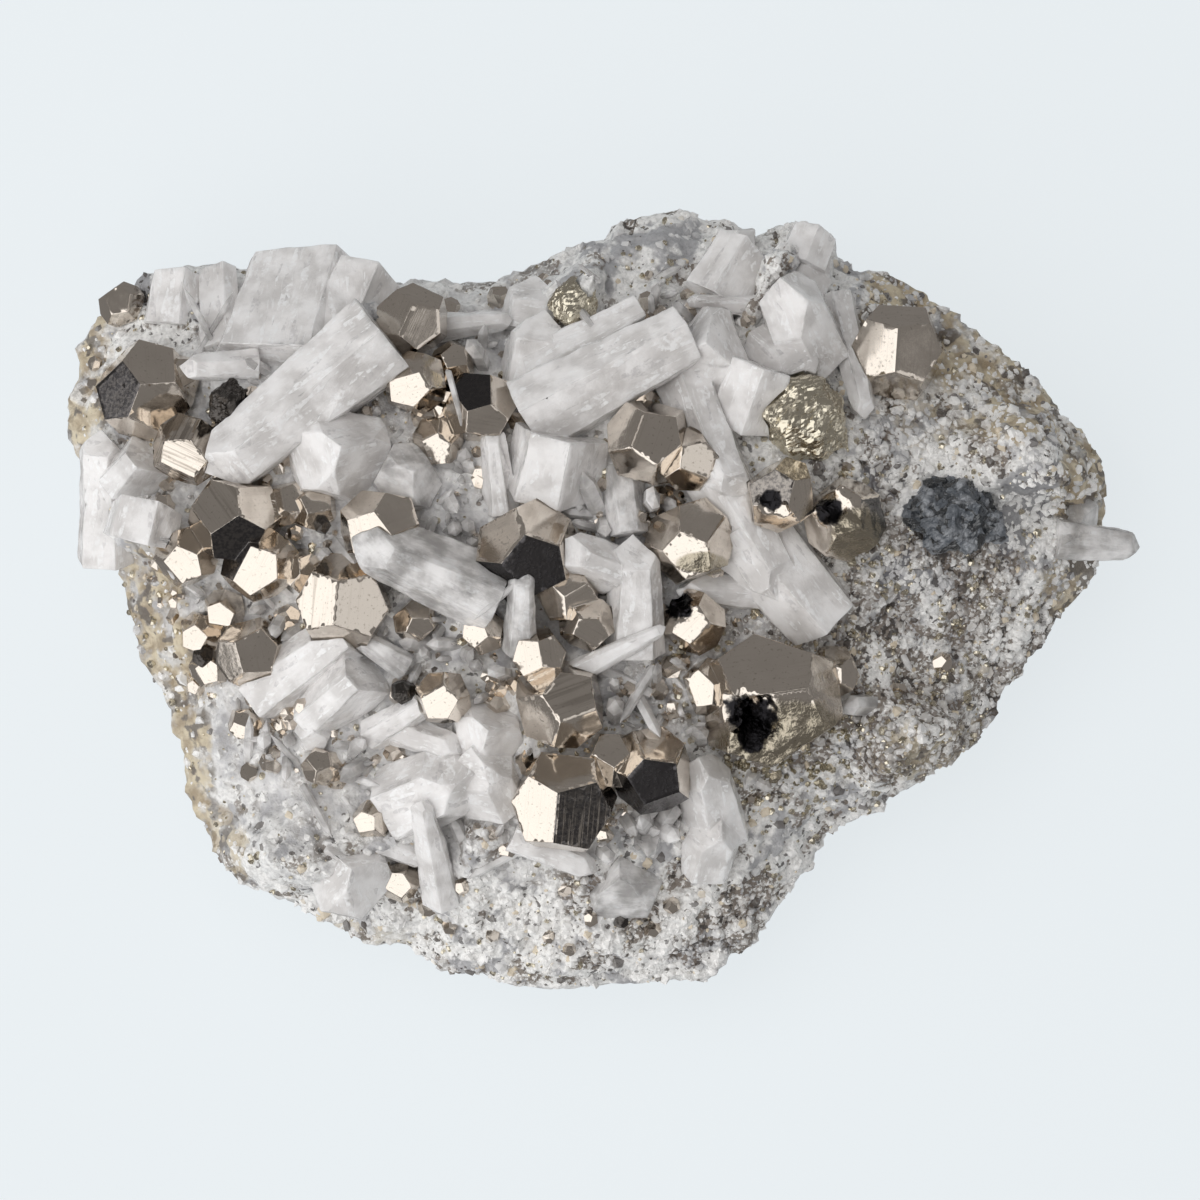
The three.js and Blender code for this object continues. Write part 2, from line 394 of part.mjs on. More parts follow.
// Quartz crystals: root and tip as place and height above the rock, and the width across the sides.
const QUARTZ = [
  // Upper left
  { name: 'quartz_long_prism', root: [-24.2, 29.4, 2.2], tip: [-43.0, 14.2, 4.4], width: 9.0 },
  { name: 'quartz_upper_block', root: [-35, 25, -1.5], tip: [-32.4, 34.8, 2.4], width: 13, blunt: true },
  { name: 'quartz_upper_slab', root: [-29.0, 26.6, -1.5], tip: [-25.4, 34.2, 2.0], width: 9.4, blunt: true },
  { name: 'quartz_upper_edge', root: [-41.4, 27.4, -0.6], tip: [-42.2, 35.6, 2.2], width: 4.6, blunt: true },
  { name: 'quartz_left_slab', root: [-47.3, 30.6, -1], tip: [-46.8, 35.6, 2.6], width: 5.2, blunt: true },
  { name: 'quartz_clear_bar', root: [-38.0, 25.8, 1.0], tip: [-45.6, 25.6, 4.6], width: 2.8 },
  { name: 'quartz_left_edge', root: [-54.6, 4.6, -0.6], tip: [-55.0, 18.2, 2.4], width: 5.4 },
  { name: 'quartz_left_lump', root: [-51.8, 13.2, -0.6], tip: [-49.6, 15.6, 2.0], width: 5.6, blunt: true },
  { name: 'quartz_left_low', root: [-50.6, 6.6, -1], tip: [-49.8, 9.8, 2.0], width: 7.0, blunt: true },
  { name: 'quartz_lavender_block', root: [-29.2, 16.0, -1], tip: [-28.2, 16.6, 6.0], width: 11.2 },
  { name: 'quartz_block_right', root: [-21.0, 13.2, -1], tip: [-20.4, 13.8, 4.6], width: 6.4 },
  { name: 'quartz_upper_bar', root: [-18.2, 30.0, 1.4], tip: [-10.0, 30.8, 3.2], width: 2.4 },
  { name: 'quartz_milky_hump', root: [-7.4, 23.0, -1], tip: [-6.2, 31.2, 4.4], width: 6.8 },
  { name: 'quartz_milky_low', root: [-5.6, 12.6, -1], tip: [-4.4, 18.0, 3.2], width: 9.6, blunt: true },
  { name: 'quartz_hump_top', root: [-8.0, 29.8, -1], tip: [-7.4, 35.4, 2.8], width: 5.6 },
  // Middle
  { name: 'quartz_clear_point', root: [-11.8, 0.0, 1.4], tip: [-26.4, 6.4, 6.2], width: 7.4 },
  { name: 'quartz_streaked', root: [-10.6, 9.8, 0], tip: [-11.6, 18.6, 3.4], width: 3.4 },
  { name: 'quartz_standing', root: [-8.7, -5.4, 2.4], tip: [-8.5, 2.8, 6.6], width: 3.2 },
  { name: 'quartz_plate', root: [1.4, 3.4, 2.0], tip: [-4.8, 6.0, 5.4], width: 5.2 },
  { name: 'quartz_right_streaked', root: [3.6, -5.4, 0.4], tip: [3.7, 6.6, 3.6], width: 6.2 },
  { name: 'quartz_clear_rod', root: [-3.4, -8.2, 2.0], tip: [6.8, -3.2, 5.0], width: 2.6 },
  { name: 'quartz_clear_lumps', root: [2.2, 13.6, -0.5], tip: [3.0, 7.4, 2.2], width: 4.4, blunt: true },
  // Left lower
  { name: 'quartz_lower_left', root: [-37.0, -10.2, 0.4], tip: [-28.0, -3.8, 2.8], width: 7.0, blunt: true },
  { name: 'quartz_lower_block', root: [-30.6, -11.4, -1], tip: [-26.2, -7.6, 3.4], width: 7.6, blunt: true },
  { name: 'quartz_cross_bar', root: [-21.4, -7.2, 1.6], tip: [-30.0, -2.2, 4.6], width: 2.6 },
  { name: 'quartz_knob', root: [-31.8, -14.6, -1], tip: [-31.4, -14.4, 2.8], width: 4.0 },
  { name: 'quartz_fan_a', root: [-24.9, -15.0, 0.4], tip: [-18.2, -10.8, 2.8], width: 2.8 },
  { name: 'quartz_fan_b', root: [-22.6, -14.0, 0], tip: [-15.6, -16.6, 2.6], width: 3.2 },
  { name: 'quartz_middle_lump', root: [-12.4, -15.0, -1], tip: [-12.0, -14.2, 4.4], width: 7.6 },
  { name: 'quartz_clouded_mass', root: [-22.0, -22.6, -1], tip: [-14.2, -19.0, 3.6], width: 7.4 },
  { name: 'quartz_clouded_second', root: [-11.2, -21.8, -1], tip: [-13.8, -16.6, 3.8], width: 6.4 },
  { name: 'quartz_lower_point', root: [-17.4, -33.0, 1.0], tip: [-19.5, -22.2, 4.6], width: 3.5 },
  { name: 'quartz_round_left', root: [-27.6, -29.8, -1.5], tip: [-27.4, -29.4, 3.0], width: 8.4 },
  { name: 'quartz_bottom_bar', root: [-26.2, -25.8, 0.4], tip: [-19.0, -28.6, 2.4], width: 2.6 },
  { name: 'quartz_below_large', root: [-9.4, -25.8, 0.6], tip: [-0.8, -29.6, 2.0], width: 3.0 },
  { name: 'quartz_bottom_mass', root: [2.4, -31.0, -1.5], tip: [2.0, -30.6, 2.4], width: 8.0 },
  { name: 'quartz_right_mass', root: [12.8, -26.0, -1], tip: [10.8, -17.8, 3.6], width: 6.0 },
  { name: 'quartz_right_second', root: [11.4, -29.0, -1], tip: [13.0, -23.8, 2.6], width: 5.2 },
  // Upper middle and upper right
  { name: 'quartz_big_milky', root: [-7.8, 20.2, 1.4], tip: [9.0, 29.2, 4.0], width: 7.8, blunt: true },
  { name: 'quartz_parallel', root: [-7.6, 25.6, 1.4], tip: [4.2, 31.8, 3.6], width: 4.4, blunt: true },
  { name: 'quartz_hexagon', root: [12.4, 26.6, -1], tip: [11.8, 27.8, 7.4], width: 8.8 },
  { name: 'quartz_blade_a', root: [19.4, 32.4, 1.0], tip: [10.0, 32.9, 4.0], width: 2.4 },
  { name: 'quartz_upper_mass', root: [23.6, 27.2, -1], tip: [20.0, 35.0, 5.2], width: 8.2 },
  { name: 'quartz_upper_second', root: [20.8, 32.6, -1], tip: [24.4, 38.8, 3.6], width: 6.8 },
  { name: 'quartz_upper_third', root: [18.4, 28.2, -1], tip: [22.8, 24.4, 3.4], width: 6.0 },
  { name: 'quartz_upper_fill', root: [12.6, 32.4, -1], tip: [15.4, 37.0, 3.0], width: 9.0, blunt: true },
  { name: 'quartz_nodule_left', root: [15.6, 20.4, -1], tip: [17.4, 25.6, 2.8], width: 8.0, blunt: true },
  { name: 'quartz_top_knob', root: [14.9, 39.0, -1], tip: [14.9, 40.8, 1.6], width: 4.4, blunt: true },
  { name: 'quartz_corner_knob', root: [22.0, 37.0, -1], tip: [23.0, 39.6, 1.4], width: 5.4, blunt: true },
  { name: 'quartz_right_blade', root: [9.6, 24.0, 0.4], tip: [15.0, 11.0, 2.6], width: 6.6 },
  { name: 'quartz_long_blade', root: [13.0, 14.0, -0.4], tip: [21.0, 0.0, 1.8], width: 7.4 },
  { name: 'quartz_side_blade', root: [17.4, 0.6, -0.4], tip: [9.0, 1.0, 1.6], width: 3.8 },
  { name: 'quartz_broad_blade', root: [15.2, 8.0, -0.4], tip: [24.0, -2.4, 1.0], width: 8.4, blunt: true },
  { name: 'quartz_ridge', root: [26.0, 33.0, 1.0], tip: [29.0, 20.4, 2.6], width: 3.2 },
  { name: 'quartz_spur_lump', root: [51.8, 7.6, -1.5], tip: [52.4, 7.0, 2.4], width: 7.4 },
  { name: 'quartz_spur', root: [50.6, 6.8, 0.4], tip: [59.2, 5.9, 1.4], width: 3.4 },
];

function largestBody(solid) {
  const none = { volume: () => 0 };
  return solid.decompose().reduce((best, body) => (body.volume() > best.volume() ? body : best), none);
}

function cutBy(solid, rooms) {
  return largestBody(rooms.reduce((left, room) => left.subtract(room), solid));
}

// Each crystal keeps clear of the rooms of what stands there before it, and one that is nearly all
// cut away is left out.
const LEAST_SHARE_LEFT = 0.15;

function grow(specs, make, rooms) {
  const grown = specs.map((spec, index) => {
    const build = make(spec, index);
    const whole = build(0);
    const solid = cutBy(whole, rooms);
    return { name: spec.name, whole, solid, room: build(GAP), largest: solid.volume() };
  });
  return grown.filter(({ whole, largest }) => largest > LEAST_SHARE_LEFT * whole.volume());
}

// Crystals that meet have grown together: each group is one solid under its largest crystal's name.
function growTogether(crystals, rooms) {
  const groups = [];
  for (const crystal of crystals) {
    const touching = groups.filter((group) => !group.solid.intersect(crystal.solid).isEmpty());
    const joined = { ...crystal };
    for (const other of touching) {
      if (other.largest > joined.largest) [joined.name, joined.largest] = [other.name, other.largest];
      for (const form of ['whole', 'solid', 'room']) joined[form] = joined[form].add(other[form]);
      groups.splice(groups.indexOf(other), 1);
    }
    groups.push(joined);
  }
  return groups.map((group) => ({ ...group, solid: cutBy(group.whole, rooms) }));
}

function roomOf(groups) {
  return groups.slice(1).reduce((sum, group) => sum.add(group.room), groups[0].room);
}

// Pyrite stands on the rock, the blende fits round it, and the quartz fits round both.
const rockRoom = solidOf(rockGeometry(GAP));
const pyriteCrystals = grow(PYRITE, pyriteCrystal, [rockRoom]);
const pyriteMasses = grow(PYRITE_MASSES, lumpyMass, [rockRoom]);
const pyriteGroups = growTogether([...pyriteCrystals, ...pyriteMasses], [rockRoom]);
const blendeRooms = [rockRoom, roomOf(pyriteGroups)];
const blendeGroups = grow(BLENDE_MASSES, lumpyMass, blendeRooms);
const quartzRooms = [...blendeRooms, roomOf(blendeGroups)];
const quartzGroups = growTogether(grow(QUARTZ, quartzCrystal, quartzRooms), quartzRooms);

const rockMaterial = new THREE.MeshStandardMaterial({ color: 0xbab6b0, roughness: 0.85 });
const quartzMaterial = new THREE.MeshStandardMaterial({ color: 0xdedcdc, roughness: 0.2 });
const pyriteMaterial = new THREE.MeshStandardMaterial({ color: 0x9b8f78, roughness: 0.25, metalness: 1 });
const blendeMaterial = new THREE.MeshStandardMaterial({ color: 0x3c4348, roughness: 0.3, metalness: 0.2 });

const group = new THREE.Group();

function addPiece(name, solid, material) {
  const mesh = new THREE.Mesh(geometryOf(solid), material);
  mesh.name = name;
  group.add(mesh);
}

addPiece('matrix', solidOf(rockGeometry(0)), rockMaterial);
for (const piece of pyriteGroups) addPiece(piece.name, piece.solid, pyriteMaterial);
for (const piece of quartzGroups) addPiece(piece.name, piece.solid, quartzMaterial);
for (const piece of blendeGroups) addPiece(piece.name, piece.solid, blendeMaterial);

export default group;
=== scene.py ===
import math
import random

import bmesh
import bpy
from mathutils import Matrix, Vector, noise
from mathutils.bvhtree import BVHTree


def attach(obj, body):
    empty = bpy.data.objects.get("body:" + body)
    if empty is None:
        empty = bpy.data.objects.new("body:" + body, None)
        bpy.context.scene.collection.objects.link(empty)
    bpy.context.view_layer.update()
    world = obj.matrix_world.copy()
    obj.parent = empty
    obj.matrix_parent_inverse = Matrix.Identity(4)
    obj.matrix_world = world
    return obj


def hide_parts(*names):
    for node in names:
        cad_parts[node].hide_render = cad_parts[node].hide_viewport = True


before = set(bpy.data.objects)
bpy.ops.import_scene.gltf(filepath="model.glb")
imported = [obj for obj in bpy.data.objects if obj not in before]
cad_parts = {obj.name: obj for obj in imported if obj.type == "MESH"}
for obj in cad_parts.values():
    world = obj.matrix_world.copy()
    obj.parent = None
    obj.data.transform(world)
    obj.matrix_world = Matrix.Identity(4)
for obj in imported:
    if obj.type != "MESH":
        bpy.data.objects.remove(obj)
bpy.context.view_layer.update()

# The rock under the crystals: sugary white and grey quartz with dark and brassy specks, stained tan where
# it has weathered along its edges, with painted shade in its creases and on its lower sides. It is one
# broken piece. The skin of its solid is cut fine, and lumps, grains and pits are pushed into it.
MM = 0.001
ROCK_CELL = 0.84               # size of the skin's faces before the top is cut finer, mm
ROCK_SWELL = 0.22              # how far the skin stands out of the solid, mm, so that crystals sit in it
ROCK_FOOT = 0.6                # the skin stays flat below this height, mm
LUMP_SIZE, LUMP_RELIEF = 4.6, 0.65
GRAIN_SIZE, GRAIN_RELIEF = 1.9, 0.75
CRUMB_SIZE, CRUMB_RELIEF = 0.62, 0.22
PIT_SIZE, PIT_RELIEF = 2.3, 0.9


class Varying:
    """A number or colour that varies over a surface: a shader node's output. Sums and products add nodes."""

    def __init__(self, finish, socket):
        self.finish = finish
        self.socket = socket

    def reckon(self, operation, first, second):
        return self.finish.node("ShaderNodeMath", {"operation": operation}, {0: first, 1: second})

    def __add__(self, other):
        return self.reckon("ADD", self, other)

    def __radd__(self, other):
        return self.reckon("ADD", other, self)

    def __sub__(self, other):
        return self.reckon("SUBTRACT", self, other)

    def __rsub__(self, other):
        return self.reckon("SUBTRACT", other, self)

    def __mul__(self, other):
        return self.reckon("MULTIPLY", self, other)

    def __rmul__(self, other):
        return self.reckon("MULTIPLY", other, self)

    def __pow__(self, other):
        return self.reckon("POWER", self, other)

    def between(self, low, high):
        """0 at low, 1 at high and a smooth step between them."""
        sockets = {"Value": self, "From Min": low, "From Max": high}
        return self.finish.node("ShaderNodeMapRange", {"interpolation_type": "SMOOTHSTEP"}, sockets)


class Finish:
    """A material in the making."""

    def __init__(self, name):
        self.material = bpy.data.materials.new(name)
        self.material.use_nodes = True
        self.tree = self.material.node_tree
        self.tree.nodes.clear()
        self.noises = {}
        here = self.node("ShaderNodeTexCoord", result="Object")
        self.place = self.node("ShaderNodeVectorMath", {"operation": "SCALE"}, {0: here, "Scale": 1 / MM})

    def node(self, kind, settings=None, sockets=None, result=0):
        made = self.tree.nodes.new(kind)
        for name, value in (settings or {}).items():
            setattr(made, name, value)
        for name, value in (sockets or {}).items():
            if isinstance(value, Varying):
                self.tree.links.new(value.socket, made.inputs[name])
            else:
                made.inputs[name].default_value = value
        return Varying(self, made.outputs[result])

    def clouds(self, size, detail=3.0, place=None, roughness=0.5):
        """Soft noise between 0 and 1 whose blots are about size across, mm. The same noise is made once."""
        wanted = (size, detail, place, roughness)
        if wanted not in self.noises:
            sockets = {"Vector": place or self.place, "Scale": 1 / size, "Detail": detail, "Roughness": roughness}
            self.noises[wanted] = self.node("ShaderNodeTexNoise", {}, sockets, "Fac")
        return self.noises[wanted]

    def cells(self, size, result="Color", place=None):
        """Grains of about size across, mm: a random tint for each, or the distance from its middle."""
        sockets = {"Vector": place or self.place, "Scale": 1 / size}
        return self.node("ShaderNodeTexVoronoi", {}, sockets, result)

    def tint(self, mask, first, second):
        """first where mask is 0, and second where it is 1."""
        return self.node("ShaderNodeMix", {"data_type": "RGBA"}, {0: mask, 6: first, 7: second}, 2)

    def axis(self, name, place=None):
        return self.node("ShaderNodeSeparateXYZ", {}, {0: place or self.place}, name)

    def around(self, centre, radii, ragged=0.35, size=4.0):
        """1 in the middle of a place on the part and 0 outside it, with a ragged edge. Millimetres."""
        across = (self.axis("X") - centre[0]) * (1 / radii[0])
        along = (self.axis("Y") - centre[1]) * (1 / radii[1])
        away = across * across + along * along + (self.clouds(size, 5.0) - 0.5) * (4 * ragged)
        return 1 - away.between(0.6, 1.3)

    def kept(self, name, result="Fac"):
        """What the mesh keeps under a name."""
        return self.node("ShaderNodeAttribute", {"attribute_name": name}, {}, result)

    def bump(self, height, distance, strength=1.0):
        """height is a number that varies, and distance what its step from 0 to 1 stands for, mm."""
        sockets = {"Height": height, "Distance": distance * MM, "Strength": strength}
        return self.node("ShaderNodeBump", {}, sockets)

    def shader(self, **sockets):
        """A Principled shader. Names of its sockets are written with _ for a space."""
        return self.node("ShaderNodeBsdfPrincipled", {}, {name.replace("_", " "): v for name, v in sockets.items()})

    def done(self, surface):
        output = self.tree.nodes.new("ShaderNodeOutputMaterial")
        self.tree.links.new(surface.socket, output.inputs["Surface"])
        return self.material


def colour(red, green, blue):
    """A colour of the finished picture, 0 to 255, as the shader wants it."""
    def linear(level):
        level /= 255
        return level / 12.92 if level <= 0.04045 else ((level + 0.055) / 1.055) ** 2.4
    return (linear(red), linear(green), linear(blue), 1.0)


def copy_of(node, name):
    """A new piece with the form of one of the frame's solids."""
    piece = bpy.data.objects.new(name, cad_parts[node].data.copy())
    piece.data.materials.clear()
    bpy.context.scene.collection.objects.link(piece)
    return piece


def worked(piece, kind, **settings):
    """Gives the piece the form that one modifier makes of it."""
    modifier = piece.modifiers.new(kind, kind)
    for name, value in settings.items():
        setattr(modifier, name, value)
    result = bpy.data.meshes.new_from_object(piece.evaluated_get(bpy.context.evaluated_depsgraph_get()))
    piece.modifiers.clear()
    piece.data = result


def push_out(piece, relief):
    """Moves each point of the piece along its normal by relief(place), in mm, and keeps that as "raised"."""
    mesh = piece.data
    facings = [vertex.normal.copy() for vertex in mesh.vertices]
    heights = [relief(vertex.co / MM) for vertex in mesh.vertices]
    for vertex, facing, height in zip(mesh.vertices, facings, heights):
        vertex.co += facing * (height * MM)
    mesh.attributes.new("raised", "FLOAT", "POINT").data.foreach_set("value", heights)
    mesh.update()


def grainy(place, size):
    """Uneven grains with creases between them: -0.5 in a crease and 0.5 on top of a grain."""
    bent = place / size + 0.5 * noise.noise_vector(place / (1.3 * size))
    return 0.5 - noise.voronoi(bent)[0][0]


def rock_relief(place):
    lumps = LUMP_RELIEF * noise.fractal(place / LUMP_SIZE, 0.9, 2.1, 4)
    grains = GRAIN_RELIEF * grainy(place + Vector((0.0, 0.0, 40.0)), GRAIN_SIZE)
    crumbs = CRUMB_RELIEF * noise.noise(place / CRUMB_SIZE)
    pits = min(0.0, noise.noise(place / PIT_SIZE) + 0.25) * PIT_RELIEF * 2
    standing = min(1.0, max(0.0, (place.z - ROCK_FOOT) / 2))
    return standing * (ROCK_SWELL + lumps + grains + crumbs + pits)


def sugar_tint(finish, raised):
    """White quartz sugar with grey glassy places, and clusters of brassy and dark specks that gather in its creases;
    in the creases the dark specks are partly painted shade.
    """
    broad = finish.clouds(9.0, 4.0)
    medium = finish.clouds(3.0, 5.0)
    fine = finish.clouds(0.5, 5.0)
    body = finish.tint(fine.between(0.34, 0.60), colour(222, 221, 219), colour(253, 252, 250))
    glassy = (medium * 0.7 + broad * 0.6).between(0.67, 0.75)
    body = finish.tint(glassy * 0.7, body, colour(146, 146, 151))
    brassy = finish.around((27, -5), (26, 17), 0.7, 7.0) * 0.13 + finish.around((9, -36), (14, 7), 0.6) * 0.05
    # The low places of the relief: they draw brassy specks, and dark specks as painted shade.
    crease_specks_and_shade = 1 - raised.between(-0.35, 0.45)
    cluster = (finish.clouds(4.8, 6.0, roughness=0.6) + brassy + crease_specks_and_shade * 0.10).between(0.58, 0.63)
    speck = finish.clouds(0.42, 3.0).between(0.38, 0.50)
    body = finish.tint(cluster * speck * 0.85, body, colour(112, 98, 84))
    # Dark specks, thicker in the low places: partly painted shade.
    dark = (finish.clouds(0.85, 4.0) + brassy * 0.4 + crease_specks_and_shade * 0.12).between(0.67, 0.71)
    return finish.tint(dark * 0.85, body, colour(66, 61, 58))


# Weathered places: middle and radii in mm, and how strongly they are stained.
TAN_PLACES = [
    ((38, 31), (10, 7), 1.3), ((46, 24), (7, 7), 1.2), ((54, 12), (4, 9), 0.9), ((53, 2), (4, 8), 0.8),
    ((38, -17), (8, 4), 0.6), ((-50, -2), (4, 10), 0.9), ((-47, -16), (4, 12), 0.9), ((-44, -28), (5, 7), 0.7),
    ((-57, 24), (3, 9), 0.9), ((40, 20), (8, 4), 0.5), ((-30, -38), (9, 3), 0.5),
]
GREY_PLACES = [((48.5, 12.0), (4.5, 3.4)), ((33, 3), (3.6, 3.0)), ((45, 8.0), (3.0, 3.4)), ((30, 12), (2.4, 3.0))]


def rock_finish():
    rock = Finish("granular_rock")
    raised = rock.kept("raised")
    body = sugar_tint(rock, raised)
    grey = sum((rock.around(middle, radii, 0.6, 2.4) for middle, radii in GREY_PLACES), 0.0)
    body = rock.tint(grey.between(0.0, 1.0) * 0.7, body, colour(112, 112, 118))
    milky = rock.tint(rock.clouds(2.4, 5.0).between(0.35, 0.65), colour(186, 185, 187), colour(240, 239, 238))
    ground = rock.around((-18, 3), (40, 34), 0.5) * rock.clouds(3.0, 5.0).between(0.28, 0.52)
    body = rock.tint(ground * 0.8, body, milky)
    tan = rock.tint(rock.clouds(1.6, 4.0).between(0.35, 0.65), colour(168, 151, 125), colour(218, 205, 178))
    tan = rock.tint(rock.clouds(2.4, 5.0).between(0.52, 0.58) * 0.85, tan, colour(98, 92, 88))
    stained = sum((rock.around(middle, radii, 0.6) * share for middle, radii, share in TAN_PLACES), 0.0)
    patch = rock.clouds(3.6, 5.0).between(0.38, 0.50)
    body = rock.tint(stained.between(0.0, 1.0) * (patch * 0.75 + 0.2), body, tan)
    # Painted shade: the rock's sides below 10 to 14.5 mm high are painted darker grey.
    side = 1 - rock.axis("Z").between(10.0, 14.5)
    body = rock.tint(side * 0.5, body, colour(136, 134, 132))
    relief = rock.clouds(0.5, 5.0) + rock.clouds(0.22, 4.0) * 0.5
    rough = rock.clouds(0.8, 2.0).between(0.3, 0.7) * 0.35 + 0.35
    return rock.done(rock.shader(Base_Color=body, Roughness=rough, Normal=rock.bump(relief, 0.2)))


rock = copy_of("matrix", "granular_rock")
worked(rock, "REMESH", mode="VOXEL", voxel_size=ROCK_CELL * MM)
form = bmesh.new()
form.from_mesh(rock.data)
upper = [edge for edge in form.edges if all(face.normal.z > 0.25 for face in edge.link_faces)]
bmesh.ops.subdivide_edges(form, edges=upper, cuts=1, use_grid_fill=True)
bmesh.ops.triangulate(form, faces=form.faces)
form.normal_update()
form.to_mesh(rock.data)
form.free()
push_out(rock, rock_relief)
rock.data.shade_smooth()
rock.data.materials.append(rock_finish())
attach(rock, "root")
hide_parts("matrix")

# Pyrite: brassy crystals with twelve five-sided faces, grown together in groups. Their faces shine like
# metal, with fine growth lines along the longest edge, shallow steps and pits. Each group is its solid
# with whole faces, a worn edge, and relief cut into the faces.
PYRITE_EDGE = 0.06             # width of the worn edge, mm
PYRITE_CUT = 0.62              # size of the pieces that a face is cut into, mm
GROWTH_STEP = 0.007            # height of the steps along the growth lines, mm
RIB_STEP = 0.035               # the same on strongly striated faces
CRUMB_STEP = 0.30              # height of the crumbs where a face broke up, mm
# Black pits, hollowed into the faces and painted near-black as painted shade in the hollows: place, how far they reach
# and how deep they are, mm.
PITS = [
    ((15.4, -12.2), 2.2, 1.2), ((17.2, -13.0), 2.4, 1.3), ((16.6, -15.2), 1.8, 1.0), ((24.9, 9.8), 1.7, 0.8),
    ((18.6, 10.8), 1.4, 0.7), ((8.6, -0.6), 1.7, 0.5),
]
# Places where the faces broke up into golden crumbs: middle and radii, mm.
CRUMBLED = [((21.0, -16.2), (8.0, 5.0)), ((28.2, 7.0), (3.4, 3.2)), ((11.0, 4.0), (3.0, 1.2))]
# Faces painted dark as a painted reflection of the dark surroundings they face: a place in the face, how far its
# middle may be from it, and how dark it is.
PAINTED_DARK_FACES = [
    ((-53.6, 21.8), 2.6, 0.8),
    ((-39.6, 6.0), 2.4, 0.8),
    ((5.5, -20.2), 3.2, 0.95),
    ((-14.0, 21.4), 1.5, 0.9),
    ((-3.0, -23.0), 3.4, 0.75),
    ((-8.4, 2.2), 2.6, 0.9),
    ((-40.4, -6.0), 2.6, 0.35),
    ((19.0, 11.3), 2.4, 0.6),
]
# Strongly striated faces: a place in the face, how far its middle may be from it, and how strong.
STRIATED = [
    ((-45.6, 15.8), 3.4, 1.0),
    ((-3.4, -11.4), 3.0, 0.6),
    ((-3.0, -23.0), 3.4, 0.5),
    ((-30.6, 0.6), 2.2, 0.6),
    ((-42.0, 9.6), 2.4, 0.5),
]


def longest_run(face):
    edge = max(face.edges, key=lambda side: side.calc_length())
    return (edge.verts[1].co - edge.verts[0].co).normalized()


def strongest(marks, face):
    """How strongly the marks (place, reach, strength) act on an upper face, 0 to 1."""
    middle = face.calc_center_median() / MM
    near = [strength for (x, y), reach, strength in marks if math.hypot(middle.x - x, middle.y - y) < reach]
    return max(near, default=0.0) if face.normal.z > 0.2 else 0.0


def cut_faces(piece, swell, edge_width, cut, relief, dark_places=(), ribbed_places=(), sharp=20):
    """Joins a solid's triangles into whole crystal faces, wears their edges, and cuts relief into them.
    Each face keeps its place measured across and along its growth lines, how dark it is painted as a painted
    reflection, and how ribbed."""
    form = bmesh.new()
    form.from_mesh(piece.data)
    bmesh.ops.remove_doubles(form, verts=form.verts, dist=0.03 * MM)
    bmesh.ops.dissolve_limit(form, angle_limit=math.radians(2), verts=form.verts, edges=form.edges)
    form.normal_update()
    for corner in form.verts:
        corner.co += corner.normal * (swell * MM * min(1.6, corner.calc_shell_factor()))
    form.normal_update()
    run = form.faces.layers.float_vector.new("run")
    dark_reflection = form.faces.layers.float.new("dark_reflection")
    ribs = form.faces.layers.float.new("ribs")
    for face in form.faces:
        face[run] = longest_run(face)
        face[dark_reflection] = strongest(dark_places, face)
        face[ribs] = strongest(ribbed_places, face)
    ridges = [edge for edge in form.edges if edge.is_manifold and edge.calc_face_angle() > math.radians(9)]
    bmesh.ops.bevel(form, geom=ridges, offset=edge_width * MM, segments=2, profile=0.6, affect="EDGES",
                    clamp_overlap=False, material=-1)
    bmesh.ops.triangulate(form, faces=form.faces)
    for _ in range(6):
        long_edges = [edge for edge in form.edges if edge.calc_length() > cut * MM]
        if not long_edges:
            break
        bmesh.ops.subdivide_edges(form, edges=long_edges, cuts=1)
        bmesh.ops.triangulate(form, faces=form.faces)
    form.normal_update()
    lines = form.loops.layers.float_vector.new("lines")
    for face in form.faces:
        along = face[run]
        if along.length < 0.5:
            along = longest_run(face)
        across = face.normal.cross(along)
        seed = 7.0 * (face.normal.x + 2.3 * face.normal.y)
        for loop in face.loops:
            place = loop.vert.co / MM
            loop[lines] = (place.dot(across), place.dot(along), seed)
    moved = []
    for corner in form.verts:
        face = corner.link_faces[0]
        lines_here = Vector(face.loops[0][lines])
        ribbed = min(around[ribs] for around in corner.link_faces)
        moved.append(corner.co + corner.normal * (relief(corner.co / MM, lines_here, ribbed) * MM))
    for corner, place in zip(form.verts, moved):
        corner.co = place
    form.to_mesh(piece.data)
    form.free()
    piece.data.shade_smooth()
    piece.data.set_sharp_from_angle(angle=math.radians(sharp))


def pyrite_relief(place, lines, ribbed):
    """Steps and bands along the growth lines, small pits, crumbled places and the large black pits."""
    step = GROWTH_STEP + RIB_STEP * ribbed
    bands = noise.noise(Vector((lines.x * (1.3 + ribbed), lines.y * 0.03, lines.z)))
    pit = 0.12 * max(0.0, noise.noise(place / 0.6 + Vector((9.0, 3.0, 1.0))) - 0.55)
    broken = 0.0
    for (x, y), (reach_x, reach_y) in CRUMBLED:
        away = math.hypot((place.x - x) / reach_x, (place.y - y) / reach_y) + 0.3 * noise.noise(place / 1.6)
        broken = max(broken, min(1.0, max(0.0, 4 * (1 - away))))
    crumbs = CRUMB_STEP * broken * (noise.noise(place / 1.3) + 0.7 * noise.noise(place / 0.5))
    hollow = 0.0
    for (x, y), reach, depth in PITS:
        away = math.hypot(place.x - x, place.y - y) / reach + 0.7 * noise.noise(place / 1.5)
        hollow += depth * min(1.0, max(0.0, 3 * (1 - away))) * (1 + 0.5 * noise.noise(place / 0.5))
    return step * math.tanh(6 * bands) + crumbs - pit - hollow


SILVERY = colour(216, 207, 196), colour(232, 223, 212)
BRASSY = colour(208, 200, 181), colour(232, 225, 206)


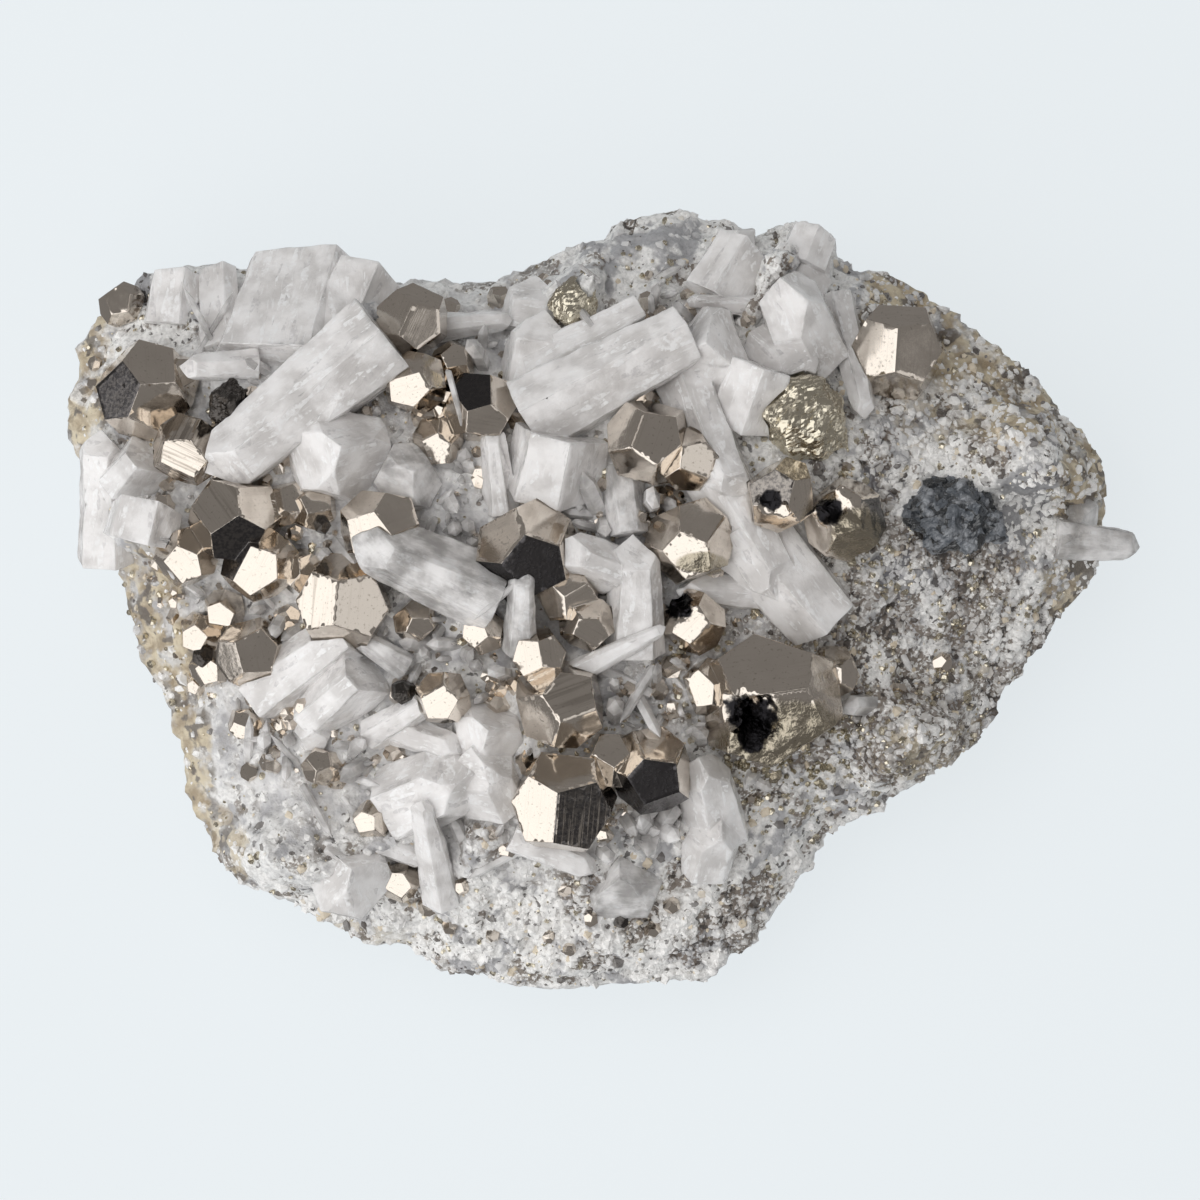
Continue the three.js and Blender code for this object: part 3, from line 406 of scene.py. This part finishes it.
def pyrite_finish(name, roughness=0.09, glitter=0.0, blackness=0.0, tints=SILVERY):
    pyrite = Finish(name)
    lines = pyrite.kept("lines", "Vector")
    stretch = {"operation": "MULTIPLY"}
    fine = pyrite.node("ShaderNodeVectorMath", stretch, {0: lines, 1: (6.0, 0.12, 1.0)})
    broad = pyrite.node("ShaderNodeVectorMath", stretch, {0: lines, 1: (1.6, 0.06, 1.0)})
    threads = pyrite.clouds(1.0, 4.0, fine)
    bands = pyrite.clouds(1.0, 3.0, broad)
    dust = pyrite.clouds(0.35, 5.0)
    film = pyrite.clouds(3.0, 4.0)
    dark_reflection = pyrite.kept("dark_reflection") * (1 - threads.between(0.54, 0.64) * pyrite.kept("ribs"))
    crumbled = sum((pyrite.around(middle, radii) for middle, radii in CRUMBLED), 0.0)
    pit_shade_and_blackness = sum((pyrite.around(middle, (0.9 * reach, 0.9 * reach), 0.6, 1.5) for middle, reach, _ in PITS), blackness)
    metal = pyrite.tint(film, *tints)
    metal = pyrite.tint(threads.between(0.55, 0.68) * 0.15, metal, colour(176, 166, 152))
    metal = pyrite.tint(bands.between(0.46, 0.60) * pyrite.kept("ribs") * 0.7, metal, colour(150, 141, 130))
    metal = pyrite.tint(dust.between(0.60, 0.70) * 0.35, metal, colour(138, 127, 112))
    metal = pyrite.tint(crumbled.between(0.0, 1.0) * 0.75, metal, colour(160, 151, 129))
    # Painted reflection: the faces listed as dark are painted dark grey, standing for the dark surroundings they
    # mirror.
    metal = pyrite.tint((dark_reflection + dust.between(0.4, 0.7) * dark_reflection * 0.3).between(0.0, 1.0), metal, colour(82, 80, 81))
    # Painted shade: the pits are painted near-black; blackness lays the same colour over the whole finish.
    metal = pyrite.tint(pit_shade_and_blackness.between(0.0, 1.0), metal, colour(38, 37, 39))
    flat = dust.between(0.5, 0.75) * 0.12 + film.between(0.4, 0.7) * 0.06 + roughness
    height = threads * 0.25 + bands * (pyrite.kept("ribs") * 3.0 + 0.5)
    height = height + dust * (crumbled * 12.0 + pit_shade_and_blackness * 8.0 + dark_reflection * 2.5 + glitter)
    bump = pyrite.bump(height, 0.010)
    return pyrite.done(pyrite.shader(Base_Color=metal, Metallic=1.0, Roughness=flat + dark_reflection * 0.12, Normal=bump))


smooth_metal = pyrite_finish("bright_pyrite")
rough_metal = pyrite_finish("glittering_pyrite", 0.18, 3.0, tints=BRASSY)
black_metal = pyrite_finish("blackened_pyrite", 0.16, 4.0, 0.8)
# Rough rounded masses: size of the pieces they are cut into, height of the crumbs in mm, and the finish.
ROUGH_PYRITE = {
    "pyrite_nodule": (0.34, 0.55, rough_metal),
    "pyrite_black_knot": (0.26, 0.50, black_metal),
    "pyrite_speckled": (0.26, 0.45, rough_metal),
}


def broken_relief(height):
    """Angular crumbs of very different sizes."""
    def relief(place):
        bent = place + 0.9 * noise.noise_vector(place / 1.5)
        crumbs = noise.voronoi(bent / 1.25)[0]
        small = noise.voronoi(bent / 0.55)[0]
        broad = noise.noise(place / 2.3)
        return height * (0.6 * (crumbs[1] - crumbs[0]) + 0.5 * (small[1] - small[0]) + 1.1 * broad - 0.3)
    return relief


for node in sorted(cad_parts):
    if not node.startswith("pyrite_"):
        continue
    crystal = copy_of(node, node + "_crystal")
    if node in ROUGH_PYRITE:
        cell, crumb, metal = ROUGH_PYRITE[node]
        worked(crystal, "REMESH", mode="VOXEL", voxel_size=cell * MM)
        push_out(crystal, broken_relief(crumb))
        crystal.data.shade_flat()
        crystal.data.materials.append(metal)
    else:
        cut_faces(crystal, 0.04, PYRITE_EDGE, PYRITE_CUT, pyrite_relief, PAINTED_DARK_FACES, STRIATED)
        crystal.data.materials.append(smooth_metal)
    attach(crystal, "root")
    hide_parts(node)

# Quartz: six-sided prisms, blocks and needles, milky with clear places, grown against the pyrite and the
# rock. Growth lines run along each crystal. Each group is its solid, swollen by the room left round it,
# with softened edges and waves in its faces.
QUARTZ_SWELL = 0.27
QUARTZ_EDGE = 0.12
QUARTZ_CUT = 0.8


def quartz_relief(place, lines, ribbed):
    ribs = 0.04 * noise.noise(Vector((lines.x * 1.4, lines.y * 0.08, lines.z)))
    waves = 0.16 * noise.fractal(place / 2.8, 0.9, 2.0, 4)
    return ribs + waves


def quartz_finish(name, clearness=0.0):
    """clearness is the share of see-through quartz where the veils are thinnest; milky quartz has none."""
    quartz = Finish(name)
    drawn = {0: quartz.kept("lines", "Vector"), 1: (1.5, 0.35, 1.0)}
    along = quartz.node("ShaderNodeVectorMath", {"operation": "MULTIPLY"}, drawn)
    streaks = quartz.clouds(0.6, 4.0, along)
    veils = quartz.clouds(3.4, 4.0)
    frost = quartz.clouds(0.6, 4.0, roughness=0.6)
    cracks = quartz.axis("X", quartz.cells(0.9, place=along))
    milk = quartz.tint(veils.between(0.34, 0.64), colour(217, 214, 212), colour(248, 246, 245))
    milk = quartz.tint(cracks.between(0.80, 0.84) * frost.between(0.4, 0.6) * 0.8, milk, colour(255, 255, 255))
    milk = quartz.tint(streaks.between(0.58, 0.68) * 0.4, milk, colour(255, 255, 255))
    milk = quartz.tint((1 - cracks.between(0.05, 0.09)) * frost.between(0.4, 0.6) * 0.35, milk, colour(165, 162, 164))
    bump = quartz.bump(streaks * 0.4 + frost * 0.9 + cracks * 0.5, 0.06)
    rough = frost.between(0.3, 0.7) * 0.14 + 0.08
    milky = quartz.shader(
        Base_Color=milk, Roughness=rough, IOR=1.544, Subsurface_Weight=0.25,
        Subsurface_Radius=(1.0, 1.0, 1.0), Subsurface_Scale=2.2 * MM, Normal=bump,
    )
    if not clearness:
        return quartz.done(milky)
    clear = quartz.shader(
        Base_Color=colour(252, 252, 253), Roughness=rough * 0.5, IOR=1.544, Transmission_Weight=1.0, Normal=bump,
    )
    thin = 1 - (veils + streaks * 0.15).between(0.35, 0.80)
    return quartz.done(quartz.node("ShaderNodeMixShader", {}, {0: thin * clearness, 1: milky, 2: clear}))


CLEAR_QUARTZ = (
    "quartz_clear_point", "quartz_clear_lumps", "quartz_spur", "quartz_standing", "quartz_cross_bar",
    "quartz_block_right", "quartz_bottom_mass",
)
milky_quartz = quartz_finish("milky_quartz")
clear_quartz = quartz_finish("clear_quartz", 0.55)

for node in sorted(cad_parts):
    if not node.startswith("quartz_"):
        continue
    crystal = copy_of(node, node + "_crystal")
    cut_faces(crystal, QUARTZ_SWELL, QUARTZ_EDGE, QUARTZ_CUT, quartz_relief, sharp=32)
    crystal.data.materials.append(clear_quartz if node in CLEAR_QUARTZ else milky_quartz)
    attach(crystal, "root")
    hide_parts(node)

# Dark zinc blende: one lumpy glassy mass in the rock on the right, almost black, with grey-blue gleams painted into
# its colour as painted reflections.
# Its solid is broken up into small curved flakes.
def blende_finish():
    blende = Finish("dark_blende")
    flakes = blende.axis("X", blende.cells(0.9))
    dark = blende.tint(flakes.between(0.2, 0.95), colour(34, 38, 42), colour(96, 102, 110))
    # Painted reflections: grey-blue patches painted where the glassy surface gleams.
    glassy = blende.clouds(2.6, 4.0).between(0.52, 0.60)
    dark = blende.tint(glassy * 0.8, dark, colour(150, 154, 160))
    bump = blende.bump(blende.clouds(0.4, 4.0), 0.2)
    rough = flakes * 0.3 + 0.10
    return blende.done(blende.shader(Base_Color=dark, Roughness=rough, IOR=2.0, Normal=bump))


blende = copy_of("blende_mass", "blende_lump")
worked(blende, "REMESH", mode="VOXEL", voxel_size=0.3 * MM)
push_out(blende, broken_relief(0.95))
blende.data.shade_flat()
blende.data.materials.append(blende_finish())
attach(blende, "root")
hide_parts("blende_mass")

# Loose-looking grains all over the rock: white and clear quartz sugar, brassy pyrite grains and small
# quartz points between the crystals. They have grown on the rock, so the sugar grains and the small points are sunk a
# little into it.
scattered = random.Random(5)
rock_skin = BVHTree.FromObject(rock, bpy.context.evaluated_depsgraph_get())


def tree_of(nodes):
    corners, faces = [], []
    for node in nodes:
        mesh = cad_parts[node].data
        start = len(corners)
        corners += [vertex.co.copy() for vertex in mesh.vertices]
        faces += [tuple(start + i for i in face.vertices) for face in mesh.polygons]
    return BVHTree.FromPolygons(corners, faces)


crystals_above = tree_of([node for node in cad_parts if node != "matrix"])
DOWN = Vector((0, 0, -1))


def top_at(x, y):
    """Where the rock or a crystal is met from above at a place in mm."""
    above = Vector((x * MM, y * MM, 0.06))
    met = [tree.ray_cast(above, DOWN)[0] for tree in (rock_skin, crystals_above)]
    return max((place for place in met if place is not None), key=lambda place: place.z)


def rock_at(x, y, margin=0.0, lowest=12.0):
    """Where the rock's skin is at a place in mm, and which way it faces, if no crystal covers it."""
    above = Vector((x * MM, y * MM, 0.06))
    place, facing, _, _ = rock_skin.ray_cast(above, DOWN)
    if place is None or place.z < lowest * MM:
        return None
    for dx, dy in ((0, 0), (margin, 0), (-margin, 0), (0, margin), (0, -margin)):
        start = above + Vector((dx * MM, dy * MM, 0))
        if crystals_above.ray_cast(start, DOWN)[0] is not None:
            return None
    return place, facing


def crumb_form():
    """A rough little lump of quartz sugar."""
    form = bmesh.new()
    bmesh.ops.create_icosphere(form, subdivisions=1, radius=1.0)
    return form


def pyritohedron_form():
    """Twelve five-sided faces."""
    form = bmesh.new()
    corners = [(x, y, z) for x in (-1, 1) for y in (-1, 1) for z in (-1, 1)]
    for first in (-1.5, 1.5):
        for second in (-0.75, 0.75):
            corners += [(0, first, second), (second, 0, first), (first, second, 0)]
    for corner in corners:
        form.verts.new(Vector(corner) / 1.5)
    bmesh.ops.convex_hull(form, input=form.verts)
    bmesh.ops.dissolve_limit(form, angle_limit=math.radians(1), verts=form.verts, edges=form.edges)
    form.verts.index_update()
    return form


def point_form():
    """A six-sided prism with a pointed end, from z -0.5 to 1."""
    form = bmesh.new()
    rings = []
    for height, radius in ((-0.5, 0.5), (0.72, 0.46)):
        ring = [(radius * math.cos(i * math.pi / 3), radius * math.sin(i * math.pi / 3), height) for i in range(6)]
        rings.append([form.verts.new(corner) for corner in ring])
    tip = form.verts.new((0.06, 0.03, 1.0))
    form.faces.new(reversed(rings[0]))
    for i in range(6):
        after = (i + 1) % 6
        form.faces.new((rings[0][i], rings[0][after], rings[1][after], rings[1][i]))
        form.faces.new((rings[1][i], rings[1][after], tip))
    form.verts.index_update()
    return form


def sprinkle(name, form, material, places, uneven):
    """One piece of many small forms. places holds a matrix and a shade for each."""
    base = [vertex.co.copy() for vertex in form.verts]
    base_faces = [[vertex.index for vertex in face.verts] for face in form.faces]
    form.free()
    corners, faces, shades = [], [], []
    for matrix, shade in places:
        start = len(corners)
        for corner in base:
            corners.append(matrix @ (corner * (1 + uneven * scattered.uniform(-1, 1))))
        faces += [[start + i for i in face] for face in base_faces]
        shades += [shade] * len(base_faces)
    mesh = bpy.data.meshes.new(name)
    mesh.from_pydata(corners, [], faces)
    mesh.attributes.new("shade", "FLOAT", "FACE").data.foreach_set("value", shades)
    mesh.materials.append(material)
    piece = bpy.data.objects.new(name, mesh)
    bpy.context.scene.collection.objects.link(piece)
    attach(piece, "root")
    return piece


def turned(place, facing, size, tip, sink=0.0):
    """A matrix that puts a form on the rock, tipped away from facing by up to tip degrees."""
    axis = Vector((scattered.gauss(0, 1), scattered.gauss(0, 1), scattered.gauss(0, 1))).normalized()
    lean = Matrix.Rotation(math.radians(scattered.uniform(0, tip)), 4, axis)
    stand = facing.to_track_quat("Z", "Y").to_matrix().to_4x4()
    spin = Matrix.Rotation(scattered.uniform(0, math.tau), 4, "Z")
    scale = Matrix.Diagonal((*[value * MM for value in size], 1.0))
    return Matrix.Translation(place - facing * (sink * MM)) @ lean @ stand @ spin @ scale


def scatter(count, region, smallest, largest, tip, length=1.0, sink=0.1, margin=0.0, lowest=12.0):
    """Places on bare rock for count forms. region(x, y) is the chance that one grows there."""
    places = []
    tries = 0
    while len(places) < count and tries < 14 * count:
        tries += 1
        x, y = scattered.uniform(-58, 58), scattered.uniform(-43, 43)
        if scattered.random() > region(x, y):
            continue
        found = rock_at(x, y, margin, lowest)
        if found is None:
            continue
        width = smallest + (largest - smallest) * scattered.random() ** 2
        size = [width * scattered.uniform(0.7, 1.3) for _ in range(3)]
        size[2] *= length
        places.append((turned(*found, size, tip, sink * width), scattered.random()))
    return places


def sugar_region(x, y):
    """Quartz sugar covers the right third and the lower edge, but little of the weathered slopes."""
    right = 1 / (1 + math.exp(-(x - 20 + 0.2 * y) / 4))
    lower = 1 / (1 + math.exp((y + 30) / 3))
    upper_slope = math.exp(-((x - 41) / 10) ** 2 - ((y - 30) / 8) ** 2)
    right_slope = math.exp(-((x - 56) / 4) ** 2 - ((y - 8) / 10) ** 2)
    bare = 1 - 0.85 * max(upper_slope, right_slope)
    return max(right, lower, 0.12) * (0.75 + 0.8 * noise.noise(Vector((x, y, 0)) / 5)) * bare


def brassy_region(x, y):
    """Brassy grains sit in clusters, thickest low on the right and below the large compound crystal."""
    near = math.exp(-((x - 26) / 24) ** 2 - ((y + 6) / 15) ** 2)
    foot = 0.9 * math.exp(-((x - 19) / 7) ** 2 - ((y + 18) / 4) ** 2)
    cluster = noise.noise(Vector((x, y, 9)) / 2.6)
    return (0.10 + near) if cluster > 0.12 else 0.02 + foot


def crystal_region(x, y):
    """Small crystals fill the ground between the large ones."""
    left = 1 / (1 + math.exp((x - 16) / 4))
    inside = 1 if (x / 50) ** 2 + ((y - 4) / 32) ** 2 < 1 else 0
    return left * inside


def sugar_finish():
    sugar = Finish("quartz_sugar")
    shade = sugar.kept("shade")
    body = sugar.tint(shade.between(0.0, 0.8) * 0.6, sugar_tint(sugar, shade), colour(246, 245, 243))
    body = sugar.tint(shade.between(0.95, 0.97) * 0.7, body, colour(222, 204, 172))
    body = sugar.tint((1 - shade.between(0.04, 0.06)) * 0.8, body, colour(90, 84, 80))
    rough = shade * 0.35 + 0.2
    return sugar.done(sugar.shader(Base_Color=body, Roughness=rough, IOR=1.544))


# Single pyrite nuggets: place and radius, mm.
NUGGETS = [
    (-16.6, 32.3, 1.1), (-11.1, 33.4, 1.4), (-38.7, -19.0, 1.0), (-35.1, -13.8, 0.9), (-32.7, -11.7, 0.9),
    (7.9, -33.7, 0.9), (-3.9, -31.9, 0.8), (5.8, -36.4, 0.9), (-1.0, -35.2, 0.8), (-5.7, -37.2, 0.7),
    (-3.4, -38.6, 0.7), (-56.0, 26.2, 0.8), (-56.2, 24.0, 0.7), (-19.1, -33.9, 1.0), (-16.6, -36.1, 0.9),
    (-15.3, -31.6, 0.9), (-11.8, -37.0, 0.8), (-33.4, 7.4, 0.9), (-36.6, 13.2, 0.8), (4.4, 9.0, 0.8),
]
BLACK_BEADS = [(-43.8, -6.2, 1.2), (2.3, -35.4, 0.8), (-21.5, -10.0, 1.3), (-30.4, 8.2, 0.9)]
# Quartz needles and narrow blades: root, tip and width in mm, with the heights above what they stand on.
NEEDLES = [
    ((-43.0, 29.2, 0.4), (-45.9, 34.6, 2.6), 0.8),
    ((-43.0, 29.2, 0.4), (-40.2, 34.1, 2.8), 0.7),
    ((-38.9, -17.4, 0.0), (-38.5, -12.6, 2.2), 1.1),
    ((-37.2, -17.8, 0.0), (-36.6, -12.9, 2.6), 1.0),
    ((-33.2, -18.2, 0.0), (-36.4, -14.6, 1.8), 0.9),
    ((-28.6, -19.0, 0.0), (-24.0, -20.4, 1.8), 1.0),
    ((-28.4, -18.6, 0.0), (-24.6, -17.8, 1.6), 0.8),
    ((-15.9, 22.6, 1.2), (-14.6, 17.8, 1.6), 0.7),
    ((-1.6, 31.0, 0.6), (-4.8, 35.2, 2.6), 1.1),
    ((-10.6, -28.4, 0.0), (-14.6, -30.6, 1.8), 1.1),
    ((-31.6, -22.4, 0.0), (-29.4, -26.2, 1.6), 1.0),
    ((-9.6, 1.4, 0.5), (-13.8, -2.2, 2.4), 0.8),
    ((4.6, -9.4, 0.4), (2.0, -13.6, 2.6), 1.2),
    ((-44.4, 1.0, 0.8), (-47.6, 3.4, 1.6), 1.0),
]


def needle(root, tip, width):
    """A matrix that puts a point form between two places."""
    low, high = (top_at(x, y) + Vector((0, 0, height * MM)) for x, y, height in (root, tip))
    axis = high - low
    scale = Matrix.Diagonal((width * MM, width * MM, axis.length, 1.0))
    return Matrix.Translation(low) @ axis.to_track_quat("Z", "Y").to_matrix().to_4x4() @ scale


def nugget(x, y, radius):
    return turned(top_at(x, y), Vector((0, 0, 1)), (radius, radius, radius), 180, -0.3 * radius)


sprinkle("quartz_sugar_grains", crumb_form(), sugar_finish(),
         scatter(6500, sugar_region, 0.20, 0.75, 180, sink=0.4), 0.25)
sprinkle("brassy_grains", pyritohedron_form(), rough_metal,
         scatter(2400, brassy_region, 0.12, 0.42, 180, sink=0.0), 0.12)
small_pyrite = scatter(150, crystal_region, 0.4, 1.4, 180)
small_pyrite += [(nugget(*place), 0.5) for place in NUGGETS]
sprinkle("small_pyrite_crystals", pyritohedron_form(), smooth_metal, small_pyrite, 0.04)
sprinkle("black_beads", pyritohedron_form(), black_metal,
         [(nugget(*place), 0.5) for place in BLACK_BEADS], 0.1)
small_points = scatter(260, crystal_region, 0.6, 2.4, 60, 2.6, 0.3, 0.7, 20.0)
small_points += [(needle(*ends), 0.5) for ends in NEEDLES]
sprinkle("small_quartz_points", point_form(), clear_quartz, small_points, 0.05)

# The floor and the studio: a pale floor that lights itself evenly, a large soft light from the lower
# left, a weaker one from the right, a soft one overhead that the metal doesn't mirror, and a dim sky.
floor_mesh = bpy.data.meshes.new("floor")
reach = 3.0
floor_mesh.from_pydata([(-reach, -reach, 0), (reach, -reach, 0), (reach, reach, 0), (-reach, reach, 0)], [], [(0, 1, 2, 3)])
floor = bpy.data.objects.new("floor", floor_mesh)
bpy.context.scene.collection.objects.link(floor)
floor.visible_glossy = False
ground = Finish("pale_floor")
floor_mesh.materials.append(ground.done(ground.shader(
    Base_Color=colour(110, 112, 114), Roughness=0.9, Emission_Color=colour(224, 230, 233), Emission_Strength=0.92,
)))


def soft_light(name, azimuth, zenith, distance, size, power):
    light = bpy.data.lights.new(name, "AREA")
    light.shape = "SQUARE"
    light.size = size
    light.energy = power
    lamp = bpy.data.objects.new(name, light)
    bpy.context.scene.collection.objects.link(lamp)
    turn, tip = math.radians(azimuth), math.radians(zenith)
    aim = Vector((math.sin(tip) * math.cos(turn), math.sin(tip) * math.sin(turn), math.cos(tip)))
    lamp.location = Vector((0, 0, 0.028)) + aim * distance
    lamp.rotation_euler = aim.to_track_quat("Z", "Y").to_euler()
    return lamp


soft_light("key_light", 210, 50, 0.8, 1.32, 6.6)
soft_light("fill_light", 338, 48, 1.0, 0.55, 0.55)
soft_light("overhead_light", 120, 25, 1.4, 0.9, 4.4).visible_glossy = False

sky = bpy.data.worlds.new("studio")
bpy.context.scene.world = sky
sky.use_nodes = True
sky.node_tree.nodes["Background"].inputs["Color"].default_value = (0.215, 0.208, 0.204, 1)

camera = bpy.data.cameras.new("camera")
camera.lens = 272.7
camera.sensor_width = 36
viewer = bpy.data.objects.new("camera", camera)
viewer.location = (0, 0, 1.024)
bpy.context.scene.collection.objects.link(viewer)
bpy.context.scene.camera = viewer
bpy.context.scene.view_settings.view_transform = "Standard"
